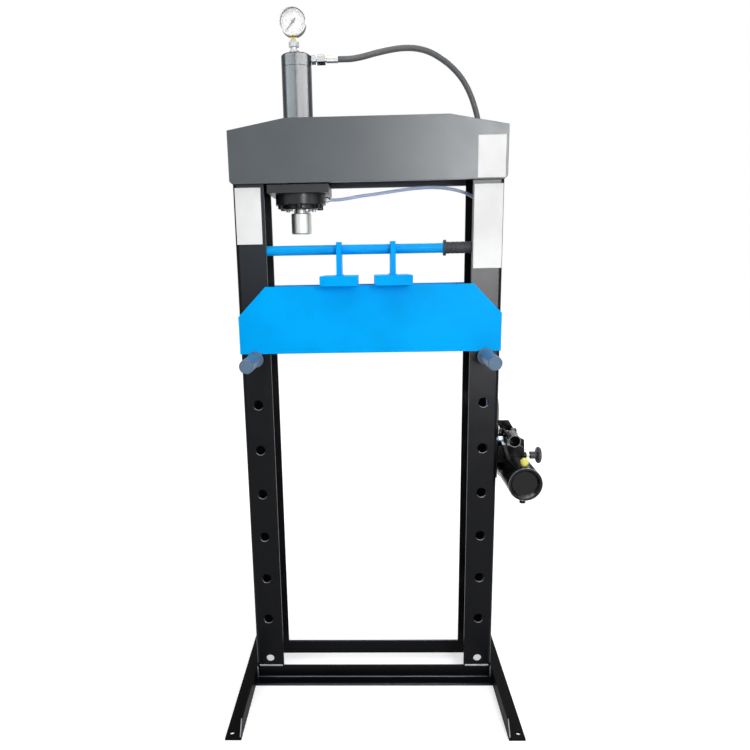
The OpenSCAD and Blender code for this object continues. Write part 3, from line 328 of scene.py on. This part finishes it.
def moulded(name, colour, rough, grain=0.3, scale=500, coat=0.0):
    """Rubber or plastic with a fine moulded grain and a little dust."""
    g = Graph(name)
    dusty = tuple(min(c * 1.25 + 0.004, 1) for c in colour)
    tone = g.mix(g.ramp(g.noise(*DUST), 0, 1, DUST_RANGE), colour, dusty)
    g.bump(g.noise(scale, MOULD_DETAIL), grain, GRAIN_DEPTH, g.soft_normal(MOULD_EDGE))
    return g.set(Base_Color=tone, Coat_Weight=coat,
                 Roughness=g.ramp(g.noise(*MOULD_SHEEN), rough - 0.05, rough + 0.1, SHEEN_RANGE))


def two_tone(name, upper, lower, split):
    """Metal fitting that is bright above a height and painted below it."""
    g = Graph(name)
    place = g.node("ShaderNodeTexCoord")
    apart = g.node("ShaderNodeSeparateXYZ")
    g.link(place.outputs["Object"], apart.inputs[0])
    above = g.ramp(apart.outputs["Z"], 0, 1, (split - SPLIT_BLUR, split + SPLIT_BLUR))
    grain = g.noise(*FITTING_GRAIN)
    g.bump(grain, FITTING_RELIEF, GRAIN_DEPTH, g.soft_normal(MOULD_EDGE))
    return g.set(Base_Color=g.mix(above, lower, upper), Metallic=g.ramp(above, 0.0, 0.85, (0, 1)),
                 Roughness=g.ramp(grain, 0.24, 0.36, SHEEN_RANGE))


def glass(name):
    g = Graph(name)
    g.bump(g.noise(*LENS_WAVES), WAVE_RELIEF, LENS_DEPTH)
    return g.set(Base_Color=(0.96, 0.98, 0.98), Roughness=0.03, IOR=1.45, Alpha=0.12)


BLUE = linear(0, 165, 243)
WORN_BLUE = (0.04, 0.18, 0.42)
MATERIALS = {
    "frame_paint": paint("frame_paint", linear(10, 11, 14), 0.30, wear=0.12, gloss=0.08),
    "foot_paint": paint("foot_paint", linear(10, 11, 13), 0.45, wear=0.12, gloss=0.02),
    "carriage_paint": paint("carriage_paint", linear(42, 45, 48), 0.36),
    # Beam plates: a dark slate that is partly their paint and partly painted sheen, lighter than the black
    # of the posts
    "beam_paint": paint("beam_paint", linear(66, 72, 77), 0.34, gloss=0.6),
    "bed_paint": paint("bed_paint", BLUE, 0.38, worn=WORN_BLUE, wear=0.35, gloss=0.03),
    "cylinder_paint": paint("cylinder_paint", linear(38, 41, 44), 0.28, gloss=0.1),
    "gland_paint": paint("gland_paint", linear(32, 34, 36), 0.30, wear=0.3),
    "lever_paint": paint("lever_paint", BLUE, 0.32, worn=WORN_BLUE, wear=0.35, gloss=0.12),
    "pump_paint": paint("pump_paint", linear(10, 10, 11), 0.22, wear=0.3, gloss=0.2),
    "ground_steel": steel("ground_steel", linear(206, 208, 203), 0.40, (1, 1, 14), scratch=0.12),
    "zinc_steel": steel("zinc_steel", linear(190, 193, 194), 0.34),
    "pin_steel": paint("pin_steel", linear(88, 113, 138), 0.36),
    "nickel": steel("nickel", linear(214, 214, 212), 0.18),
    "black_oxide": steel("black_oxide", linear(40, 41, 43), 0.42),
    "bezel_chrome": steel("bezel_chrome", linear(222, 223, 224), 0.24, scratch=0.08),
    "brass": steel("brass", linear(222, 202, 132), 0.28),
    "grip_rubber": moulded("grip_rubber", linear(36, 40, 44), 0.6),
    "hose_rubber": moulded("hose_rubber", linear(84, 86, 88), 0.5, 0.4, 700),
    "seal_rubber": moulded("seal_rubber", linear(26, 26, 27), 0.55),
    "tube_plastic": moulded("tube_plastic", linear(166, 180, 212), 0.3, 0.1, 200, 0.3),
    "knob_plastic": moulded("knob_plastic", linear(42, 44, 46), 0.42, 0.3, 600),
    "filler_plastic": moulded("filler_plastic", linear(228, 226, 96), 0.35, 0.15, 300, 0.3),
    "gauge_black": paint("gauge_black", linear(26, 27, 29), 0.35, wear=0.15),
    "dial_white": moulded("dial_white", linear(248, 248, 246), 0.5, 0.05, 300),
    "gauge_glass": glass("gauge_glass"),
    "needle_black": moulded("needle_black", linear(74, 76, 79), 0.45, 0.1, 400),
}
WELD = steel("weld_bead", linear(150, 152, 154), 0.38, scratch=0.5)
PLATE = paint("label_plate", linear(233, 234, 233), 0.45, wear=0.1, edge=0.0006, gloss=0.06)
# Light metal of the beads: worn bare metal at the socket's mouth, painted highlights on the reservoir rim,
# hole lips and foot edges
RUBBED_AND_HIGHLIGHT = steel("rubbed_and_highlight_metal", linear(128, 130, 133), 0.34)
# Light glossy paint for painted highlight lines along the black angles' edges
HIGHLIGHT_EDGE = paint("painted_highlight_edge", linear(96, 106, 120), 0.26, wear=0.1, gloss=0.8)


def dress(obj, material):
    obj.data.materials.clear()
    obj.data.materials.append(material)


# Nodes with another finish than their slot's
OWN_FINISH = {"carriage_plate": "carriage_paint", "foot_left": "foot_paint", "foot_right": "foot_paint",
              "gland_flange": "gland_paint", "lever_tube": "lever_paint"}
ELBOW_BRIGHT = 0.022
for node, obj in nodes.items():
    dress(obj, MATERIALS[OWN_FINISH.get(node, slot_of[node])])
dress(hose, MATERIALS["hose_rubber"])
dress(drain, MATERIALS["tube_plastic"])
elbow_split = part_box("return_elbow")[1][2] - ELBOW_BRIGHT
dress(nodes["return_elbow"],
      two_tone("elbow_metal", linear(186, 200, 214), linear(16, 16, 18), elbow_split))

# Bare plates where the photograph has labels: left and lower corner, right and upper corner
post_low, post_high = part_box("post_left")
right_low, right_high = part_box("post_right")
beam_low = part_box("beam_front_plate")[0]
half_in, half_out, post_face = right_low[0], right_high[0], right_high[1]
PLATE_T = 0.0006
LABELS = (("label_post_left", post_low[1], (-0.320, 1.182), (-0.258, 1.314)),
          ("label_beam", beam_low[1], (0.259, 1.325), (0.324, 1.419)),
          ("label_post_right", post_low[1], (0.2535, 1.116), (0.322, 1.312)))


def plate(name, low, high):
    """Thin plate between two corners."""
    bm = bmesh.new()
    bmesh.ops.create_cube(bm, size=1)
    size = [b - a for a, b in zip(low, high)]
    for v in bm.verts:
        v.co = Vector(a + (c + 0.5) * s for a, c, s in zip(low, v.co, size))
    obj = new_mesh(name, bm, smooth=False)
    obj.data.materials.append(PLATE)
    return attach(obj, "frame")


for name, front, (x0, z0), (x1, z1) in LABELS:
    plate(name, (x0, front - PLATE_T, z0), (x1, front, z1))

# Welds: bead radii, and where the seams start and end from the edges of the pieces that they join
RIPPLE, RIPPLE_OVERLAP, RIPPLE_SIZES = 0.0035, 1.1, (0.88, 1.1)
POST_WELD_R, FRAME_WELD_R, EYE_WELD_R = 0.0035, 0.0030, 0.0032
POST_WELD_OUT, POST_WELD_INNER, POST_WELD_OUTER = 0.0005, 0.006, 0.010
BEAM_WELD_OUT, BEAM_WELD_END = 0.0015, 0.012
CROSS_WELD_IN, CROSS_WELD_Y, CROSS_WELD_Z = 0.001, 0.0675, (0.006, 0.034)
PRESS_PLATE_T, EYE_HALF_T, EYE_HALF_D = 0.024, 0.00625, 0.041


def weld(name, start, end, radius, material=WELD):
    """Row of overlapping ripples along a welded seam."""
    start, end = Vector(start), Vector(end)
    turn = (end - start).normalized().to_track_quat("Z", "Y").to_matrix().to_4x4()
    count = max(2, int((end - start).length / RIPPLE))
    bm = bmesh.new()
    for i in range(count + 1):
        size = radius * draw.uniform(*RIPPLE_SIZES)
        squeeze = Matrix.Diagonal((size, size, RIPPLE * RIPPLE_OVERLAP, 1))
        bmesh.ops.create_uvsphere(bm, u_segments=10, v_segments=6, radius=1,
                                  matrix=Matrix.Translation(start.lerp(end, i / count)) @ turn @ squeeze)
    obj = new_mesh(name, bm)
    obj.data.materials.append(material)
    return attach(obj, "frame")


# Welds where the posts stand on the base, where the beam meets the posts and at the ends of the cross angles
for side, word in SIDES:
    for face, place in FACES:
        y = face * (post_face + POST_WELD_OUT)
        weld(f"weld_post_{word}_{place}", (side * (half_in + POST_WELD_INNER), y, post_low[2]),
             (side * (half_out - POST_WELD_OUTER), y, post_low[2]), POST_WELD_R)
        x, y = side * (half_out + BEAM_WELD_OUT), face * post_face
        weld(f"weld_beam_{word}_{place}", (x, y, beam_low[2] + BEAM_WELD_END),
             (x, y, post_high[2] - BEAM_WELD_END), FRAME_WELD_R)
        x, y = side * (half_out - CROSS_WELD_IN), face * CROSS_WELD_Y
        weld(f"weld_cross_{word}_{place}", (x, y, CROSS_WELD_Z[0]), (x, y, CROSS_WELD_Z[1]), FRAME_WELD_R)

# Painted welds at the feet of the eye plates
eye_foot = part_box("bed_front_plate")[1][2] + PRESS_PLATE_T
lever_low, lever_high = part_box("lever_tube")
lever_y = (lever_low[1] + lever_high[1]) / 2
for node in ("press_plate_left", "press_plate_right"):
    low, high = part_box(node)
    for side, word in SIDES:
        x = (low[0] + high[0]) / 2 + side * EYE_HALF_T
        weld(f"weld_{node}_{word}", (x, lever_y - EYE_HALF_D, eye_foot), (x, lever_y + EYE_HALF_D, eye_foot),
             EYE_WELD_R, MATERIALS["bed_paint"])


def join_hoops(bm, here, there):
    for k in range(len(here)):
        n = (k + 1) % len(here)
        bm.faces.new((here[k], here[n], there[n], there[k]))


# Return spring on the carriage
SPRING_WIRE, SPRING_TURNS, RAM_STROKE = 0.0045, 10, 0.160


def coil_spring(name, node, per_turn=28, sides=10):
    """Wound spring in place of a CAD node."""
    low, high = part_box(node)
    centre = Vector(((low[0] + high[0]) / 2, (low[1] + high[1]) / 2, low[2]))
    coil_r = (high[0] - low[0] - SPRING_WIRE) / 2
    length = high[2] - low[2]
    steps = SPRING_TURNS * per_turn
    up = Vector((0, 0, 1))
    bm = bmesh.new()
    hoops = []
    for i in range(steps + 1):
        a = 2 * math.pi * i / per_turn
        out = Vector((math.cos(a), math.sin(a), 0))
        p = centre + out * coil_r + up * (SPRING_WIRE / 2 + (length - SPRING_WIRE) * i / steps)
        hoops.append([bm.verts.new(p + SPRING_WIRE / 2 * (math.cos(u) * out + math.sin(u) * up))
                      for u in angles(sides)])
    for here, there in zip(hoops, hoops[1:]):
        join_hoops(bm, here, there)
    close_ends(bm, hoops)
    bmesh.ops.recalc_face_normals(bm, faces=bm.faces)
    obj = new_mesh(name, bm)
    dress(obj, MATERIALS[slot_of[node]])
    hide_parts(node)
    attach(obj, "carriage")
    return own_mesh(obj)


coil_spring("spring_coils", "return_spring")

# Rubbed rim at the mouth of the lever socket, and a painted highlight of light metal round the reservoir's
# front end: centre, radius, bead
SOCKET_RIM = ((0.363, -0.095, 0.687), 0.0147, 0.0010)
RESERVOIR_HIGHLIGHT = ((0.382, -0.149, 0.590), 0.0417, 0.0007)
BEAD_SIDES = 8


def hoop(bm, centre, radius, thick, angle):
    """Small circle of points across a bead, at an angle round the Y axis."""
    points = []
    for u in angles(BEAD_SIDES):
        r = radius + thick * math.cos(u)
        points.append(bm.verts.new((centre[0] + r * math.cos(angle), centre[1] + thick * math.sin(u),
                                    centre[2] + r * math.sin(angle))))
    return points


def beads(name, bm, body):
    """Piece of light metal from finished beads: rubbed metal at the socket's mouth, a painted highlight on
    the other beads.
    """
    bmesh.ops.recalc_face_normals(bm, faces=bm.faces)
    obj = new_mesh(name, bm)
    obj.data.materials.append(RUBBED_AND_HIGHLIGHT)
    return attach(obj, body)


def rim(name, centre, radius, thick, body, around=56):
    """Thin bead round the Y axis."""
    bm = bmesh.new()
    hoops = [hoop(bm, centre, radius, thick, a) for a in angles(around)]
    for here, there in zip(hoops, hoops[1:] + hoops[:1]):
        join_hoops(bm, here, there)
    return beads(name, bm, body)


rim("socket_rim", *SOCKET_RIM, "socket")
# Painted highlight: a ring of light metal round the reservoir's front end
rim("reservoir_rim_highlight", *RESERVOIR_HIGHLIGHT, "frame")

# Painted highlights of light metal on the lower lips of the open pin holes below the bed
HOLE_R = 0.0128
HOLE_TOP, HOLE_PITCH, OPEN_ROWS = 0.902, 0.120, range(1, 7)
LIP_FROM, LIP_TO = math.radians(208), math.radians(332)
LIP_THICK, LIP_END = 0.0010, 0.2


def lip_highlight(bm, centre, steps=20):
    """Painted highlight: bead along the lower edge of a hole, thin at its two ends."""
    hoops = []
    for i in range(steps + 1):
        angle = LIP_FROM + (LIP_TO - LIP_FROM) * i / steps
        thick = LIP_THICK * (LIP_END + (1 - LIP_END) * math.sin(math.pi * i / steps))
        hoops.append(hoop(bm, centre, HOLE_R, thick, angle))
    for here, there in zip(hoops, hoops[1:]):
        join_hoops(bm, here, there)
    close_ends(bm, hoops)


hole_x = (half_in + half_out) / 2
for side, word in SIDES:
    bm = bmesh.new()
    for row in OPEN_ROWS:
        for face, place in FACES:
            lip_highlight(bm, (side * hole_x, face * post_face, HOLE_TOP - HOLE_PITCH * row))
    beads(f"hole_lip_highlights_{word}", bm, "frame")

# Painted highlights along the edges of the angles: root of the front cross angle, outer edges, and the cut
# ends of the feet
ANGLE_T, ANGLE_LEG, FOOT_CUT = 0.005, 0.040, 0.030
ROOT_OUT, ROOT_R = 0.0017, 0.0014
EDGE_IN, EDGE_R = 0.0005, 0.0007
CUT_R, CUT_TOP_IN, CUT_END_IN, CUT_FOOT_UP = 0.0018, 0.0010, 0.002, 0.0015
STRAIGHT_STEPS, STRAIGHT_SIDES = 8, 12


def straight_bead(name, start, end, radius, material):
    start, end = Vector(start), Vector(end)
    line = [start.lerp(end, k / STRAIGHT_STEPS) for k in range(STRAIGHT_STEPS + 1)]
    obj = tube(name, line, radius, STRAIGHT_SIDES)
    obj.data.materials.append(material)
    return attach(obj, "frame")


cross_low, cross_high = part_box("cross_front")
for name, y, z, radius in (
        ("cross_front_root_highlight", cross_high[1] - ANGLE_T - ROOT_OUT, ANGLE_T + ROOT_OUT, ROOT_R),
        ("cross_front_edge_highlight", cross_low[1] + EDGE_IN, ANGLE_T - EDGE_IN, EDGE_R),
        ("cross_rear_edge_highlight", -cross_high[1] + EDGE_IN, ANGLE_LEG - EDGE_IN, EDGE_R)):
    straight_bead(name, (-half_out, y, z), (half_out, y, z), radius, HIGHLIGHT_EDGE)
foot_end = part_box("foot_left")[1][1]
# Painted highlights of light metal along the sloped cut ends of the feet
for side, word in SIDES:
    for face, place in FACES:
        x = side * (half_out + ANGLE_T / 2)
        straight_bead(f"foot_edge_highlight_{word}_{place}",
                      (x, face * (foot_end - FOOT_CUT), ANGLE_LEG - CUT_TOP_IN),
                      (x, face * (foot_end - CUT_END_IN), ANGLE_T + CUT_FOOT_UP), CUT_R, RUBBED_AND_HIGHLIGHT)

# Bare scale of the gauge, ticks only: angles in degrees, length and width of a tick in metres
TICKS, LONG_EVERY = 50, 5
SCALE_FROM, SCALE_SWEEP = 225, 270
SCALE_R = 0.0245
LONG_TICK, SHORT_TICK, TICK_T = (0.0040, 0.0005), (0.0022, 0.0003), 0.0002
DIAL_T, TICK_LIFT = 0.001, 0.00005


def gauge_scale():
    dial_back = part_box("gauge_dial")[1][1]
    low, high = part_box("gauge_bezel")
    centre = Vector(((low[0] + high[0]) / 2, dial_back - DIAL_T - TICK_LIFT, (low[2] + high[2]) / 2))
    bm = bmesh.new()
    for i in range(TICKS + 1):
        length, width = SHORT_TICK if i % LONG_EVERY else LONG_TICK
        angle = math.radians(SCALE_FROM - SCALE_SWEEP * i / TICKS)
        spot = Matrix.Translation(centre) @ Matrix.Rotation(-angle, 4, "Y")
        out = Matrix.Translation((SCALE_R - length / 2, 0, 0))
        bmesh.ops.create_cube(bm, size=1, matrix=spot @ out @ Matrix.Diagonal((length, TICK_T, width, 1)))
    obj = new_mesh("gauge_scale", bm, smooth=False)
    obj.data.materials.append(MATERIALS["needle_black"])
    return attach(obj, "carriage")


gauge_scale()


# Floor and background
def seen_directly(tree):
    """1 for rays that show the background, 0 for rays that light the object."""
    path = tree.nodes.new("ShaderNodeLightPath")
    total = path.outputs["Is Camera Ray"]
    for ray in ("Is Glossy Ray", "Is Transmission Ray"):
        most = tree.nodes.new("ShaderNodeMath")
        most.operation = "MAXIMUM"
        tree.links.new(total, most.inputs[0])
        tree.links.new(path.outputs[ray], most.inputs[1])
        total = most.outputs[0]
    return total


FLOOR_HALF, FLOOR_DROP = 12, 0.0005
FLOOR_COLOUR = (0.85, 0.85, 0.85)
# Glow of the floor near the middle and further out, and the distances in metres between which it grows
GLOW_NEAR, GLOW_FAR, GLOW_RANGE = 0.50, 0.80, (0.5, 3.5)


def floor_material():
    """White floor that keeps the shadow: part of its white is glow that doesn't light the object."""
    g = Graph("studio_white")
    g.bump(g.noise(*FLOOR_WAVES), WAVE_RELIEF, GRAIN_DEPTH)
    place = g.node("ShaderNodeTexCoord")
    away = g.node("ShaderNodeVectorMath", operation="LENGTH")
    g.link(place.outputs["Object"], away.inputs[0])
    glow = g.node("ShaderNodeMath", operation="MULTIPLY")
    g.link(g.ramp(away.outputs["Value"], GLOW_NEAR, GLOW_FAR, GLOW_RANGE), glow.inputs[1])
    g.link(seen_directly(g.tree), glow.inputs[0])
    return g.set(Base_Color=FLOOR_COLOUR, Roughness=0.8, Emission_Color=(1, 1, 1),
                 Emission_Strength=glow.outputs[0])


bm = bmesh.new()
bmesh.ops.create_grid(bm, x_segments=1, y_segments=1, size=FLOOR_HALF)
floor = new_mesh("floor", bm, smooth=False)
floor.location = (0, 0, -FLOOR_DROP)
floor.data.materials.append(floor_material())


# Lamps: place and target in metres, width and height in metres, power in watts
def area_light(name, place, target, size, power, tint=(1, 1, 1)):
    data = bpy.data.lights.new(name, "AREA")
    data.shape = "RECTANGLE"
    data.size, data.size_y = size
    data.energy = power
    data.color = tint
    lamp = bpy.data.objects.new(name, data)
    lamp.location = place
    lamp.rotation_euler = (Vector(target) - Vector(place)).to_track_quat("-Z", "Y").to_euler()
    scene.collection.objects.link(lamp)
    return lamp


def gloss_card(name, place, target, size, power, mirrors, tint=(1, 1, 1)):
    """Lamp that only mirrors in the gloss of some pieces, as a photographer's card does."""
    card = area_light(name, place, target, size, power, tint)
    card.visible_diffuse = False
    group = bpy.data.collections.new(name)
    for node in mirrors:
        group.objects.link(nodes[node])
    card.light_linking.receiver_collection = group


POSTS = ("post_left", "post_right")
CYLINDER, CYLINDER_AT = ("cylinder_tube", "cylinder_cap"), (-0.15, 0, 1.6)
COOL, COLD = (0.9, 1.0, 1.05), (0.75, 0.95, 1.1)
area_light("key", (-2.2, -2.6, 3.0), (0, 0, 0.9), (1.6, 1.6), 20)
area_light("glare", (0.85, -2.9, 1.65), (0.2, 0, 1.3), (0.6, 1.1), 40)
area_light("fill", (2.8, -2.0, 1.6), (0, 0, 0.9), (1.2, 2.4), 11)
area_light("top", (0.1, -0.9, 3.4), (0.1, -0.3, 0.8), (2.2, 1.6), 26)
gloss_card("card_right", (0.8, -2.9, 1.55), (0.29, 0, 1.2), (1.0, 1.6), 270, POSTS)
gloss_card("card_left", (-0.8, -2.9, 1.70), (-0.29, 0, 1.2), (1.0, 1.3), 36, POSTS, COLD)
gloss_card("card_beam", (0.7, -2.9, 2.0), (0.2, 0, 1.4), (1.0, 0.8), 8, ("beam_front_plate",))
gloss_card("card_cylinder_left", (-2.05, -1.79, 2.3), CYLINDER_AT, (4.1, 1.2), 660, CYLINDER, COOL)
gloss_card("card_cylinder_right", (1.70, -1.81, 2.3), CYLINDER_AT, (5.4, 1.2), 1360, CYLINDER)
gloss_card("card_cap", (1.05, 0.0, 1.9), (1.05, 0.0, 0.6), (3.9, 1.2), 220, ("reservoir_cap",))
area_light("rim", (0.8, 2.4, 3.0), (0, 0, 1.1), (2.0, 1.2), 50)

WORLD_LIGHT, WORLD_SEEN = 0.26, 1.0


def make_world():
    """Weak white light all round, which the camera and reflections see as plain white."""
    world = bpy.data.worlds.new("studio")
    scene.world = world
    world.use_nodes = True
    tree = world.node_tree
    lit = tree.nodes["Background"]
    lit.inputs["Color"].default_value = (1, 1, 1, 1)
    lit.inputs["Strength"].default_value = WORLD_LIGHT
    seen = tree.nodes.new("ShaderNodeBackground")
    seen.inputs["Color"].default_value = (1, 1, 1, 1)
    seen.inputs["Strength"].default_value = WORLD_SEEN
    mix = tree.nodes.new("ShaderNodeMixShader")
    tree.links.new(seen_directly(tree), mix.inputs["Fac"])
    tree.links.new(lit.outputs[0], mix.inputs[1])
    tree.links.new(seen.outputs[0], mix.inputs[2])
    tree.links.new(mix.outputs[0], tree.nodes["World Output"].inputs["Surface"])


make_world()
